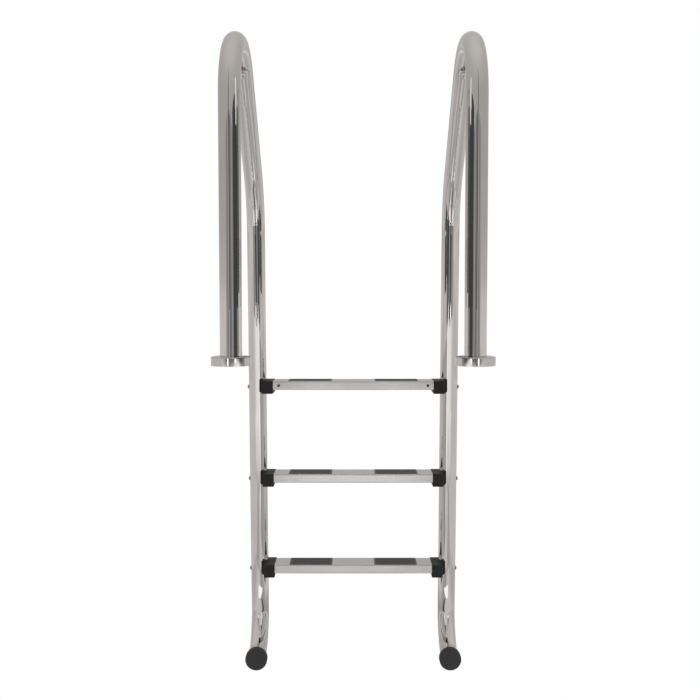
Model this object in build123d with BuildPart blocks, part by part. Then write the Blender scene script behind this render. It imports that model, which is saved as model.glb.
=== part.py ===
from build123d import *
import os
from math import cos, radians, sin, tan

# Pool ladder: two bent tube rails, three folded treads carried by moulded end brackets,
# base flanges under sliding escutcheons, and rubber caps on the feet.
#
# Frame: the origin lies on the deck, midway between the two posts. +Z is up, +Y runs from
# the deck towards the pool, and +X is to the right of somebody who faces the pool.
# Everything is in millimetres, and "left" is the -X side.

os.makedirs("parts", exist_ok=True)

# ---------------------------------------------------------------- driving dimensions
# Rail tube and its side view, from the deck up and over to the foot.
tube_diameter = 42.0
tube_wall = 1.5
rail_spacing = 458.0
post_height = 499.5
top_bend_radius = 127.0
slope_angle = 45.0
slope_length = 253.0
knee_radius = 200.0
leg_angle = 3.3
leg_length = 912.3
foot_bend_radius = 88.0
foot_stub_length = 13.0

# Treads, each one a folded sheet channel.
tread_levels = {"top": -68.0, "middle": -292.0, "bottom": -516.0}
tread_length = 380.0
tread_depth = 66.0
tread_height = 21.0
tread_sheet = 1.5
tread_bend_radius = 3.0
tread_lip = 9.0

# Grip pads, let into shallow pockets in the tread tops.
pad_length = 103.5
pad_depth = 60.0
pad_thickness = 2.0
pad_pocket_depth = 1.4
pad_offset = 102.8
pad_corner_radius = 2.0
pad_side_clearance = 0.15
peg_diameter = 6.0
peg_length = 4.5
peg_spacing = 70.0
peg_clearance = 0.2

# End brackets.
bracket_width = 26.7
bracket_depth = 72.0
bracket_height = 30.5
bracket_rise = 0.5
bracket_outer_radius = 3.5
bracket_lead_in = 1.6
bracket_lead_in_depth = 0.8
bracket_edge_radius = 1.0
saddle_clearance = 0.05
tongue_length = 21.0
tongue_clearance = 0.15

# Tread bolts, with dome heads on the outer sides of the rails and nuts in the brackets.
bolt_diameter = 6.0
bolt_hole_diameter = 6.6
bolt_drop = 16.0
bolt_length = 60.0
bolt_head_diameter = 11.0
bolt_head_height = 3.8
bolt_socket_size = 4.0
bolt_socket_depth = 2.0
nut_size = 10.0
nut_thickness = 5.0
nut_bore_diameter = 6.1
nut_pocket_clearance = 0.2
nut_inset = 4.0

# Screws that hold each tread to the tongues inside it.
screw_diameter = 3.9
screw_hole_diameter = 4.1
screw_length = 13.0
screw_head_diameter = 6.6
screw_head_height = 1.9
screw_recess_depth = 1.1
screw_offset = 176.3
screw_drop = 10.5
screw_face = {"top": -1, "middle": 1, "bottom": 1}

# Base flanges and the escutcheons that cover them.
flange_diameter = 72.0
flange_thickness = 5.0
flange_bolt_circle = 58.0
flange_hole_diameter = 7.0
flange_hole_count = 4
weld_leg = 3.0
cover_diameter = 76.0
cover_height = 18.8
cover_sheet = 1.2
cover_shoulder_width = 6.5
cover_shoulder_height = 3.2
cover_neck_rise = 0.8
cover_corner_radius = 2.4
cover_bore_clearance = 0.4

# Foot caps.
cap_diameter = 51.5
cap_length = 18.0
cap_floor = 5.0
cap_edge_radius = 2.5
cap_lip_radius = 1.2
cap_clearance = 0.05

# ---------------------------------------------------------------- derived places
tube_radius = tube_diameter / 2
rail_x = rail_spacing / 2
sides = {"left": -1, "right": 1}

slope = radians(slope_angle)
lean = radians(leg_angle)
top_end_y = top_bend_radius * (1 + cos(slope))
top_end_z = post_height + top_bend_radius * sin(slope)
slope_end_y = top_end_y + slope_length * sin(slope)
slope_end_z = top_end_z - slope_length * cos(slope)
knee_end_y = slope_end_y + knee_radius * (cos(lean) - cos(slope))
knee_end_z = slope_end_z - knee_radius * (sin(slope) - sin(lean))
leg_end_y = knee_end_y + leg_length * sin(lean)
leg_end_z = knee_end_z - leg_length * cos(lean)
foot_z = leg_end_z - foot_bend_radius * (1 + sin(lean))
foot_end_y = leg_end_y - foot_bend_radius * cos(lean) - foot_stub_length

tread_half = tread_length / 2
bolt_head_x = rail_x + tube_radius
nut_x = tread_half + nut_inset


def leg_y(z):
    """Place of the leg's axis in Y at the height z."""
    return knee_end_y + (knee_end_z - z) * tan(lean)


def across(x, y, z):
    """A location whose own Z axis lies along the frame's X axis."""
    return Location((x, y, z), (0, 90, 0))


# ---------------------------------------------------------------- rails
# Each rail is one tube that stands on its base flange: post, top bend, slope, knee, leg,
# foot bend and a short stub.
for side, sign in sides.items():
    with BuildPart() as rail:
        with BuildLine(Plane.YZ.offset(sign * rail_x)) as path:
            post = Line((0, flange_thickness), (0, post_height))
            top = JernArc(post @ 1, post % 1, top_bend_radius, slope_angle - 180)
            ramp = PolarLine(top @ 1, slope_length, direction=top % 1)
            knee = JernArc(ramp @ 1, ramp % 1, knee_radius, leg_angle - slope_angle)
            leg = PolarLine(knee @ 1, leg_length, direction=knee % 1)
            foot = JernArc(leg @ 1, leg % 1, foot_bend_radius, -90 - leg_angle)
            stub = PolarLine(foot @ 1, foot_stub_length, direction=foot % 1)
        with BuildSketch(Plane.XY.offset(flange_thickness)) as section:
            with Locations((sign * rail_x, 0)):
                Circle(tube_radius)
                Circle(tube_radius - tube_wall, mode=Mode.SUBTRACT)
        sweep(path=path.line)
        for level in tread_levels.values():
            bolt_z = level - bolt_drop
            with Locations(across(sign * rail_x, leg_y(bolt_z), bolt_z)):
                Cylinder(bolt_hole_diameter / 2, 2 * tube_diameter, mode=Mode.SUBTRACT)
    rail.part.label = f"rail_{side}"
    export_step(rail.part, f"parts/rail_{side}.step")

# ---------------------------------------------------------------- base flanges
# A plate under each post, with a weld bead round the tube and four bolt holes.
for side, sign in sides.items():
    with BuildPart() as flange:
        with BuildSketch(Plane.XY) as plate:
            with Locations((sign * rail_x, 0)):
                Circle(flange_diameter / 2)
                with PolarLocations(flange_bolt_circle / 2, flange_hole_count, 45):
                    Circle(flange_hole_diameter / 2, mode=Mode.SUBTRACT)
        extrude(amount=flange_thickness)
        with BuildSketch(Plane.XZ) as bead:
            with BuildLine() as bead_outline:
                Polyline(
                    (sign * rail_x + tube_radius, flange_thickness),
                    (sign * rail_x + tube_radius + weld_leg, flange_thickness),
                    (sign * rail_x + tube_radius, flange_thickness + weld_leg),
                    close=True,
                )
            make_face()
        revolve(axis=Axis((sign * rail_x, 0, 0), (0, 0, 1)))
    flange.part.label = f"base_flange_{side}"
    export_step(flange.part, f"parts/base_flange_{side}.step")

# ---------------------------------------------------------------- escutcheons
# A spun sheet cover with a straight wall and a sloping shoulder. It rests on the deck
# and slides up the post.
for side, sign in sides.items():
    centre_x = sign * rail_x
    wall_radius = cover_diameter / 2
    bore_radius = tube_radius + cover_bore_clearance
    shoulder_z = cover_height - cover_neck_rise
    with BuildPart() as cover:
        with BuildSketch(Plane.XZ) as spun_wall:
            with BuildLine() as spun_outline:
                FilletPolyline(
                    (centre_x + wall_radius, 0),
                    (centre_x + wall_radius, shoulder_z - cover_shoulder_height),
                    (centre_x + wall_radius - cover_shoulder_width, shoulder_z),
                    (centre_x + tube_radius, cover_height),
                    radius=cover_corner_radius,
                )
                offset(amount=cover_sheet, side=Side.LEFT)
            make_face()
        revolve(axis=Axis((centre_x, 0, 0), (0, 0, 1)))
        with Locations((centre_x, 0, cover_height)):
            Cylinder(bore_radius, cover_height, mode=Mode.SUBTRACT)
    cover.part.label = f"escutcheon_{side}"
    export_step(cover.part, f"parts/escutcheon_{side}.step")

# ---------------------------------------------------------------- foot caps
# A cup over the end of each foot, with its flat face against the pool wall.
for side, sign in sides.items():
    face_y = foot_end_y - cap_floor
    with BuildPart() as cap:
        with BuildSketch(Plane.XZ.offset(-face_y)) as disc:
            with Locations((sign * rail_x, foot_z)):
                Circle(cap_diameter / 2)
        extrude(amount=-cap_length)
        fillet(cap.edges().group_by(Axis.Y)[0], radius=cap_edge_radius)
        fillet(cap.edges().group_by(Axis.Y)[-1], radius=cap_lip_radius)
        with BuildSketch(Plane.XZ.offset(-foot_end_y)) as socket:
            with Locations((sign * rail_x, foot_z)):
                Circle(tube_radius + cap_clearance)
        extrude(amount=-cap_length, mode=Mode.SUBTRACT)
    cap.part.label = f"foot_cap_{side}"
    export_step(cap.part, f"parts/foot_cap_{side}.step")

# ---------------------------------------------------------------- treads
# A channel with its open side down, two pockets for the grip pads with holes for their
# pegs, and one screw hole near each end.
for name, level in tread_levels.items():
    axis_y = leg_y(level)
    skirt_y = axis_y + screw_face[name] * tread_depth / 2
    pad_centres = [(-pad_offset, axis_y, 0), (pad_offset, axis_y, 0)]
    with BuildPart() as tread:
        with BuildSketch(Plane.YZ.offset(-tread_half)) as channel:
            with Locations((axis_y, level - tread_height / 2)):
                RectangleRounded(tread_depth, tread_height, tread_bend_radius)
                RectangleRounded(
                    tread_depth - 2 * tread_sheet,
                    tread_height - 2 * tread_sheet,
                    tread_bend_radius - tread_sheet,
                    mode=Mode.SUBTRACT,
                )
            with Locations((axis_y, level - tread_height)):
                Rectangle(tread_depth - 2 * tread_lip, 4 * tread_sheet, mode=Mode.SUBTRACT)
        extrude(amount=tread_length)
        with BuildSketch(Plane.XY.offset(level - tread_sheet)) as pocket_backs:
            with Locations(pad_centres):
                Rectangle(pad_length + 2 * tread_sheet, pad_depth + 2 * tread_sheet)
        extrude(amount=-pad_pocket_depth)
        with BuildSketch(Plane.XY.offset(level)) as pockets:
            with Locations(pad_centres):
                RectangleRounded(pad_length, pad_depth, pad_corner_radius)
        extrude(amount=-pad_pocket_depth, mode=Mode.SUBTRACT)
        with BuildSketch(Plane.XY.offset(level)) as peg_holes:
            with Locations(pad_centres):
                with GridLocations(peg_spacing, 0, 2, 1):
                    Circle(peg_diameter / 2 + peg_clearance)
        extrude(amount=-tread_height / 2, mode=Mode.SUBTRACT)
        for sign in sides.values():
            hole_place = Location((sign * screw_offset, skirt_y, level - screw_drop), (90, 0, 0))
            with Locations(hole_place):
                Cylinder(screw_hole_diameter / 2, 4 * tread_sheet, mode=Mode.SUBTRACT)
    tread.part.label = f"tread_{name}"
    export_step(tread.part, f"parts/tread_{name}.step")

# ---------------------------------------------------------------- grip pads
for name, level in tread_levels.items():
    for side, sign in sides.items():
        floor_z = level - pad_pocket_depth
        with BuildPart() as pad:
            with BuildSketch(Plane.XY.offset(floor_z)) as mat:
                with Locations((sign * pad_offset, leg_y(level))):
                    RectangleRounded(
                        pad_length - 2 * pad_side_clearance,
                        pad_depth - 2 * pad_side_clearance,
                        pad_corner_radius,
                    )
            extrude(amount=pad_thickness)
            with BuildSketch(Plane.XY.offset(floor_z)) as pegs:
                with Locations((sign * pad_offset, leg_y(level))):
                    with GridLocations(peg_spacing, 0, 2, 1):
                        Circle(peg_diameter / 2)
            extrude(amount=-peg_length)
        pad.part.label = f"grip_pad_{name}_{side}"
        export_step(pad.part, f"parts/grip_pad_{name}_{side}.step")

# ---------------------------------------------------------------- end brackets
# A block with a saddle that fits the rail, a tongue inside the tread, a hole for the
# tread bolt, a pocket for its nut that is open along the tongue, and a screw hole.
for name, level in tread_levels.items():
    axis_y = leg_y(level)
    bolt_z = level - bolt_drop
    bolt_y = leg_y(bolt_z)
    tongue_top = level - tread_sheet - tongue_clearance
    tongue_bottom = level - tread_height + tread_sheet + tongue_clearance
    tongue_depth = tread_depth - 2 * tread_sheet - 2 * tongue_clearance
    for side, sign in sides.items():
        inner_x = sign * tread_half
        outer_x = sign * (tread_half + bracket_width)
        lead_x = sign * (tread_half + bracket_lead_in)
        end_y = bracket_depth / 2 - bracket_lead_in_depth
        with BuildPart() as bracket:
            with BuildSketch(Plane.XY.offset(level + bracket_rise)) as block:
                with BuildLine() as block_outline:
                    Polyline(
                        (inner_x, axis_y - end_y),
                        (lead_x, axis_y - bracket_depth / 2),
                        (outer_x, axis_y - bracket_depth / 2),
                        (outer_x, axis_y + bracket_depth / 2),
                        (lead_x, axis_y + bracket_depth / 2),
                        (inner_x, axis_y + end_y),
                        close=True,
                    )
                make_face()
                fillet(
                    block.vertices().group_by(Axis.X)[-1 if sign > 0 else 0],
                    radius=bracket_outer_radius,
                )
            extrude(amount=-bracket_height)
            fillet(bracket.edges().group_by(Axis.Z)[-1], radius=bracket_edge_radius)
            fillet(bracket.edges().group_by(Axis.Z)[0], radius=bracket_edge_radius)
            with BuildSketch(Plane.YZ.offset(inner_x)) as tongue:
                with Locations((axis_y, (tongue_top + tongue_bottom) / 2)):
                    RectangleRounded(tongue_depth, tongue_top - tongue_bottom, tread_bend_radius)
            extrude(amount=-sign * tongue_length)
            saddle_place = Location((sign * rail_x, axis_y, level), (leg_angle, 0, 0))
            with Locations(saddle_place):
                Cylinder(
                    tube_radius + saddle_clearance, 4 * bracket_height, mode=Mode.SUBTRACT
                )
            with Locations(across(sign * rail_x, bolt_y, bolt_z)):
                Cylinder(bolt_hole_diameter / 2, 2 * bracket_depth, mode=Mode.SUBTRACT)
            pocket_size = nut_size + 2 * nut_pocket_clearance
            pocket_start = sign * (nut_x + nut_thickness)
            with BuildSketch(Plane.YZ.offset(pocket_start)) as nut_pocket:
                with Locations((bolt_y, bolt_z)):
                    RegularPolygon(pocket_size / 2, 6, major_radius=False, rotation=30)
            extrude(amount=-sign * (nut_inset + nut_thickness), mode=Mode.SUBTRACT)
            with BuildSketch(Plane.YZ.offset(inner_x)) as nut_channel:
                with Locations((bolt_y, bolt_z)):
                    Rectangle(1.2 * pocket_size, 1.2 * pocket_size)
            extrude(amount=-sign * tongue_length, mode=Mode.SUBTRACT)
            screw_place = Location(
                (sign * screw_offset, axis_y + screw_face[name] * tread_depth / 2, level - screw_drop),
                (90, 0, 0),
            )
            with Locations(screw_place):
                Cylinder(screw_hole_diameter / 2, 2 * screw_length + 2, mode=Mode.SUBTRACT)
        bracket.part.label = f"end_bracket_{name}_{side}"
        export_step(bracket.part, f"parts/end_bracket_{name}_{side}.step")

# ---------------------------------------------------------------- tread bolts
for name, level in tread_levels.items():
    bolt_z = level - bolt_drop
    bolt_y = leg_y(bolt_z)
    for side, sign in sides.items():
        head_plane = Plane(
            origin=(sign * bolt_head_x, bolt_y, bolt_z), x_dir=(0, 1, 0), z_dir=(sign, 0, 0)
        )
        dome_radius = (bolt_head_diameter**2 / 4 + bolt_head_height**2) / (2 * bolt_head_height)
        with BuildPart() as bolt:
            with BuildSketch(head_plane) as head:
                Circle(bolt_head_diameter / 2)
            extrude(amount=bolt_head_height)
            with Locations(head_plane.offset(bolt_head_height - dome_radius).location):
                Sphere(dome_radius, mode=Mode.INTERSECT)
            with BuildSketch(head_plane.offset(bolt_head_height)) as socket:
                RegularPolygon(bolt_socket_size / 2, 6, major_radius=False)
            extrude(amount=-bolt_socket_depth, mode=Mode.SUBTRACT)
            with BuildSketch(head_plane) as shank:
                Circle(bolt_diameter / 2)
            extrude(amount=-bolt_length)
        bolt.part.label = f"tread_bolt_{name}_{side}"
        export_step(bolt.part, f"parts/tread_bolt_{name}_{side}.step")

# ---------------------------------------------------------------- nuts and screws
# Each group is one node of six separate, identical fasteners.
with BuildPart() as nuts:
    for level in tread_levels.values():
        bolt_z = level - bolt_drop
        for sign in sides.values():
            with BuildSketch(Plane.YZ.offset(sign * nut_x)) as nut:
                with Locations((leg_y(bolt_z), bolt_z)):
                    RegularPolygon(nut_size / 2, 6, major_radius=False, rotation=30)
                    Circle(nut_bore_diameter / 2, mode=Mode.SUBTRACT)
            extrude(amount=sign * nut_thickness)
nuts.part.label = "bracket_nuts"
export_step(nuts.part, "parts/bracket_nuts.step")

with BuildPart() as screws:
    for name, level in tread_levels.items():
        face = screw_face[name]
        skirt_y = leg_y(level) + face * tread_depth / 2
        for sign in sides.values():
            seat = Plane(
                origin=(sign * screw_offset, skirt_y, level - screw_drop),
                x_dir=(1, 0, 0),
                z_dir=(0, face, 0),
            )
            with BuildSketch(seat) as screw_head:
                Circle(screw_head_diameter / 2)
            extrude(amount=screw_head_height, taper=18)
            with BuildSketch(seat.offset(screw_head_height)) as screw_recess:
                Rectangle(0.5 * screw_head_diameter, 0.12 * screw_head_diameter)
                Rectangle(0.12 * screw_head_diameter, 0.5 * screw_head_diameter)
            extrude(amount=-screw_recess_depth, mode=Mode.SUBTRACT)
            with BuildSketch(seat) as screw_shank:
                Circle(screw_diameter / 2)
            extrude(amount=-screw_length)
screws.part.label = "tread_screws"
export_step(screws.part, "parts/tread_screws.step")
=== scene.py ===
import math

import bmesh
import bpy
from mathutils import Matrix, Vector


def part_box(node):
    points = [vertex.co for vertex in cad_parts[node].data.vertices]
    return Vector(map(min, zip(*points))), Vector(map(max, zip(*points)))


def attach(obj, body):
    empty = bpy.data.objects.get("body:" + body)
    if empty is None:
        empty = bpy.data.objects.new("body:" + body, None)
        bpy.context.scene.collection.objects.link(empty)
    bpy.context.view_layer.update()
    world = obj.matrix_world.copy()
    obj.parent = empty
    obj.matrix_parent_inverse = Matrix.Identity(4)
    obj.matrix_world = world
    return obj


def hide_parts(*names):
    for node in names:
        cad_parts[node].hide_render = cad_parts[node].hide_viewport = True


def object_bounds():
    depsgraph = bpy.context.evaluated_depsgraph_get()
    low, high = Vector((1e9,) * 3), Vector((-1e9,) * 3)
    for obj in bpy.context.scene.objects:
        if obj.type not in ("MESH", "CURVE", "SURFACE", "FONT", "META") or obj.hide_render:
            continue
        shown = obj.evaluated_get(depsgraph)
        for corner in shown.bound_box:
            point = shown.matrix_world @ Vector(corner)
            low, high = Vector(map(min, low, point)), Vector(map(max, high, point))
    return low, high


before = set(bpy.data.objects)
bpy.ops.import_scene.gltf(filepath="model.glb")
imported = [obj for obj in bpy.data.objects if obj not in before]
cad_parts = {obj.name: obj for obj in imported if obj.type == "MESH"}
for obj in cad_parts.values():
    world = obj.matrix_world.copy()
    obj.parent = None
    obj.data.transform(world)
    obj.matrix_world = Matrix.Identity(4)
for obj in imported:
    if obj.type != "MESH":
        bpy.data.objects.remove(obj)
cad_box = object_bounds()

# The pool ladder's looks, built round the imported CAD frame. Lengths are in metres, in the
# CAD's own frame: +Z up, +Y from the deck towards the pool, origin on the deck between the
# posts. "left" is the -X side.

MM = 0.001
sides = {"left": -1, "right": 1}
levels = ("top", "middle", "bottom")

# ---------------------------------------------------------------- driving dimensions
# Rail, from its foot on the deck round to the cap.
tube_wall = 1.5 * MM
top_bend_radius = 127 * MM
slope_angle = math.radians(45)
slope_length = 253 * MM
knee_radius = 200 * MM
leg_angle = math.radians(3.3)
leg_length = 912.3 * MM
foot_bend_radius = 88 * MM
foot_stub_length = 13 * MM
post_height = 499.5 * MM

# Treads and grip pads.
tread_sheet = 1.5 * MM
tread_bend_radius = 3 * MM
tread_lip = 9 * MM
pad_pocket_depth = 1.4 * MM
pad_offset = 102.8 * MM
pocket_size = (103.5 * MM, 60 * MM)
pocket_corner_radius = 2 * MM
pad_side_clearance = 0.15 * MM
pad_proud = 0.6 * MM
pad_field_floor = -0.5 * MM
pad_edge_radius = 0.35 * MM
pad_rim = 1.6 * MM
stud_pitch = 7 * MM
peg_diameter = 6 * MM
peg_clearance = 0.2 * MM
peg_length = 4.5 * MM
peg_root = 0.5 * MM
peg_tip_radius = 0.4 * MM
peg_spacing = 70 * MM
tread_edge_round = 0.22 * MM

# End brackets.
bracket_lead_in = 1.6 * MM
bracket_lead_in_depth = 0.8 * MM
bracket_outer_radius = 3.5 * MM
bracket_corner_radius = 0.8 * MM
bracket_edge_radius = 1 * MM
bracket_cut_round = 0.3 * MM
bracket_width = 26.7 * MM
bracket_depth = 72 * MM
bracket_height = 30.5 * MM
bracket_rise = 0.5 * MM
tongue_length = 21 * MM
tongue_clearance = 0.15 * MM
tongue_root = 4 * MM
tongue_edge_radius = 0.5 * MM
saddle_clearance = 0.05 * MM

# Fasteners.
bolt_drop = 16 * MM
bolt_diameter = 6 * MM
bolt_head_diameter = 11 * MM
bolt_head_height = 3.8 * MM
bolt_head_rim = 0.5 * MM
bolt_seat_inset = 0.2 * MM
bolt_tip_chamfer = 0.6 * MM
bolt_edge_round = 0.12 * MM
bolt_socket_size = 4 * MM
bolt_socket_depth = 2 * MM
bolt_length = 60 * MM
bolt_hole_radius = 0.55 * bolt_diameter
nut_size = 10 * MM
nut_pocket_clearance = 0.2 * MM
nut_pocket_depth = 9 * MM
screw_offset = 176.3 * MM
screw_drop = 10.5 * MM
screw_hole_diameter = 4.1 * MM
screw_face = {"top": -1, "middle": 1, "bottom": 1}

# Base flanges and their welds. A weld is sunk a little in the tube and the plate.
flange_thickness = 5 * MM
flange_rim_radius = 0.6 * MM
flange_hole_count = 4
flange_hole_circle = 58 * MM
flange_hole_diameter = 7 * MM
flange_edge_round = 0.3 * MM
weld_leg = 3 * MM
weld_sink = 0.2 * MM
weld_root = 0.6 * MM
weld_ripple = 0.09

# Escutcheons and foot caps.
cover_sheet = 1.2 * MM
cover_shoulder_width = 6.5 * MM
cover_shoulder_height = 3.2 * MM
cover_neck_rise = 0.8 * MM
cover_draft = 0.35 * MM
cover_corner_radius = 2.4 * MM
cover_edge_round = 0.25 * MM
cover_bore_clearance = 0.4 * MM
cap_clearance = 0.05 * MM
cap_floor = 5 * MM
cap_edge_radius = 2.5 * MM
cap_lip_radius = 1.2 * MM

# Cutting solids stand this far past the faces that they cut.
past = 1 * MM

# ---------------------------------------------------------------- places read from the frame


def middle(node, axis):
    """Middle of a CAD node's box along one axis, 0 for X to 2 for Z."""
    low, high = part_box(node)
    return (low[axis] + high[axis]) / 2


rail_low, rail_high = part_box("rail_right")
tube_radius = (rail_high.x - rail_low.x) / 2
rail_x = (rail_high.x + rail_low.x) / 2
flange_low, flange_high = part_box("base_flange_right")
flange_radius = (flange_high.x - flange_low.x) / 2
tread_low, tread_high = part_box("tread_top")
tread_half = tread_high.x
tread_depth = tread_high.y - tread_low.y
tread_height = tread_high.z - tread_low.z
tread_top = {level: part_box(f"tread_{level}")[1].z for level in levels}
tread_y = {level: middle(f"tread_{level}", 1) for level in levels}


def leg_y(z):
    """Place of the leg's axis in Y at the height z."""
    return tread_y["top"] + (tread_top["top"] - z) * math.tan(leg_angle)


# ---------------------------------------------------------------- mesh helpers
def new_object(name, verts, faces, uvs=None):
    """A mesh object in the scene. uvs gives each vertex its place on the surface, in metres."""
    mesh = bpy.data.meshes.new(name)
    mesh.from_pydata([tuple(v) for v in verts], [], faces)
    if uvs is not None:
        layer = mesh.uv_layers.new(name="Surface")
        for loop in mesh.loops:
            layer.data[loop.index].uv = uvs[loop.vertex_index]
    mesh.validate()
    piece = bpy.data.objects.new(name, mesh)
    bpy.context.scene.collection.objects.link(piece)
    return piece


def merge_close(piece):
    """Joins the vertices that share a place, as at the tip of a turned solid."""
    work = bmesh.new()
    work.from_mesh(piece.data)
    bmesh.ops.remove_doubles(work, verts=work.verts, dist=1e-7)
    bmesh.ops.recalc_face_normals(work, faces=work.faces)
    work.to_mesh(piece.data)
    work.free()


def new_solid(name, verts, faces, uvs=None):
    """A closed mesh object, with its doubled vertices joined and its normals outward."""
    piece = new_object(name, verts, faces, uvs)
    merge_close(piece)
    return piece


def settle(piece):
    """Applies a piece's modifiers to its own mesh."""
    bpy.context.view_layer.update()
    graph = bpy.context.evaluated_depsgraph_get()
    mesh = bpy.data.meshes.new_from_object(piece.evaluated_get(graph))
    piece.modifiers.clear()
    piece.data = mesh
    piece.data.name = piece.name


def combine(piece, operation, tools):
    """Adds the tool solids to a piece or cuts them out of it, and removes the tools."""
    for tool in tools:
        step = piece.modifiers.new("combine", "BOOLEAN")
        step.operation = operation
        step.solver = "EXACT"
        step.object = tool
    settle(piece)
    for tool in tools:
        bpy.data.objects.remove(tool)


def soften(piece, width, angle=35):
    """Rounds the edges of a piece that are sharper than an angle in degrees."""
    bevel = piece.modifiers.new("soften", "BEVEL")
    bevel.width = width
    bevel.segments = 2
    bevel.limit_method = "ANGLE"
    bevel.angle_limit = math.radians(angle)
    settle(piece)


def smooth(piece, angle):
    """Smooth shading, apart from the edges sharper than an angle in degrees."""
    piece.data.shade_smooth()
    piece.data.set_sharp_from_angle(angle=math.radians(angle))


def keep_flat(piece):
    """Keeps the flat faces of a smooth piece flat."""
    weighted = piece.modifiers.new("flat faces stay flat", "WEIGHTED_NORMAL")
    weighted.keep_sharp = True


def shade(piece, angle=32):
    """Smooth shading that keeps the flat faces flat."""
    smooth(piece, angle)
    keep_flat(piece)


def finish_piece(piece, material, body, slot, *nodes):
    """Gives a piece its material and body, and hides the CAD nodes that it stands for; slot is not
    used.
    """
    piece.data.materials.clear()
    piece.data.materials.append(material)
    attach(piece, body)
    if nodes:
        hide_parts(*nodes)


def lathe(name, profile, segments=96, closed=False):
    """A solid turned about Z from (radius, height) points, going up on the outside."""
    verts, uvs, faces = [], [], []
    count = len(profile)
    for i in range(segments):
        turn = 2 * math.pi * i / segments
        travel = 0.0
        for j, (radius, height) in enumerate(profile):
            if j:
                last = profile[j - 1]
                travel += math.hypot(radius - last[0], height - last[1])
            verts.append((radius * math.cos(turn), radius * math.sin(turn), height))
            uvs.append((turn * profile[0][0], travel))
    for i in range(segments):
        ahead = (i + 1) % segments
        for j in range(count if closed else count - 1):
            k = (j + 1) % count
            faces.append((i * count + j, ahead * count + j, ahead * count + k, i * count + k))
    if not closed:
        for end, flip in ((0, True), (count - 1, False)):
            at_axis = profile[end][0] < 1e-9
            if not at_axis:
                cap = [i * count + end for i in range(segments)]
                faces.append(cap[::-1] if flip else cap)
    return new_solid(name, verts, faces, uvs)


def arc(centre, radius, start, end, steps):
    """Points (a, b) on an arc, from the angle start to the angle end, in degrees."""
    points = []
    for i in range(steps + 1):
        turn = math.radians(start + (end - start) * i / steps)
        points.append((centre[0] + radius * math.cos(turn), centre[1] + radius * math.sin(turn)))
    return points


def rounded_outline(corners, steps=6):
    """An anticlockwise convex outline from (x, y, radius) corners, as (point, outward normal)."""
    outline = []
    count = len(corners)
    for i, (x, y, radius) in enumerate(corners):
        corner = Vector((x, y))
        before = (corner - Vector(corners[i - 1][:2])).normalized()
        after = (Vector(corners[(i + 1) % count][:2]) - corner).normalized()
        turn = -before.angle_signed(after)
        setback = radius * math.tan(turn / 2)
        start = corner - before * setback
        first = Vector((before.y, -before.x))
        centre = start - first * radius
        for step in range(steps + 1):
            normal = first.copy()
            normal.rotate(Matrix.Rotation(turn * step / steps, 2))
            outline.append((centre + normal * radius, normal))
    return outline


def box_outline(width, depth, radius, steps=6):
    """A rectangle's outline about the origin, with round corners."""
    w, d = width / 2, depth / 2
    corners = [(w, -d, radius), (w, d, radius), (-w, d, radius), (-w, -d, radius)]
    return rounded_outline(corners, steps)


def rim_rings(edge, radius, way, turns):
    """Rings (inset, height) of a rounded rim, from a height edge upward (way 1) or downward."""
    rings = []
    for turn in turns:
        inset = radius * (1 - math.sin(turn))
        rings.append((inset, edge + way * radius * (1 - math.cos(turn))))
    return rings


def stack(outline, rings):
    """Vertices and faces of a cup: an outline's rings (inset, height), closed at the bottom."""
    verts, faces = [], []
    count = len(outline)
    for inset, height in rings:
        for point, normal in outline:
            spot = point - normal * inset
            verts.append((spot.x, spot.y, height))
    for r in range(len(rings) - 1):
        for i in range(count):
            j = (i + 1) % count
            faces.append((r * count + i, r * count + j, (r + 1) * count + j, (r + 1) * count + i))
    faces.append(tuple(range(count))[::-1])
    return verts, faces


def slab(name, outline, low, high, edge_radius=0.0, edge_steps=3):
    """A solid with that outline between two heights, its rim edges rounded."""
    rings = [(0, low), (0, high)]
    if edge_radius > 0:
        steps = range(edge_steps + 1)
        rings = rim_rings(low, edge_radius, 1, [math.pi / 2 * i / edge_steps for i in steps])
        falling = [math.pi / 2 * (1 - i / edge_steps) for i in steps]
        rings += rim_rings(high, edge_radius, -1, falling)
    verts, faces = stack(outline, rings)
    count = len(outline)
    faces.append(tuple(len(verts) - count + i for i in range(count)))
    return new_solid(name, verts, faces)


def place(piece, matrix):
    """Moves a piece's mesh by a matrix."""
    piece.data.transform(matrix)
    if matrix.determinant() < 0:
        piece.data.flip_normals()
    return piece


def along_x(x, y, z, sign=1):
    """A matrix that lays a piece's own Z along the frame's X, or against it."""
    return Matrix.Translation((x, y, z)) @ Matrix.Rotation(sign * math.pi / 2, 4, "Y")


def along_y(x, y, z, sign=1):
    """A matrix that lays a piece's own Z along the frame's Y, or against it."""
    return Matrix.Translation((x, y, z)) @ Matrix.Rotation(-sign * math.pi / 2, 4, "X")


def circle_outline(radius, steps):
    """A circle's outline about the origin."""
    outline = []
    for i in range(steps):
        turn = 2 * math.pi * i / steps
        normal = Vector((math.cos(turn), math.sin(turn)))
        outline.append((normal * radius, normal))
    return outline


def hexagon(across_flats):
    """A hexagon's outline about the origin."""
    return circle_outline(across_flats / math.sqrt(3), 6)


# ---------------------------------------------------------------- materials
def base_material(name, colour, metallic, roughness):
    """A material with a Principled shader, its nodes and links, and the shader itself."""
    material = bpy.data.materials.new(name)
    material.use_nodes = True
    tree = material.node_tree
    shader = next(node for node in tree.nodes if node.type == "BSDF_PRINCIPLED")
    shader.inputs["Base Color"].default_value = (*colour, 1)
    shader.inputs["Metallic"].default_value = metallic
    shader.inputs["Roughness"].default_value = roughness
    return material, tree, shader


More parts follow.
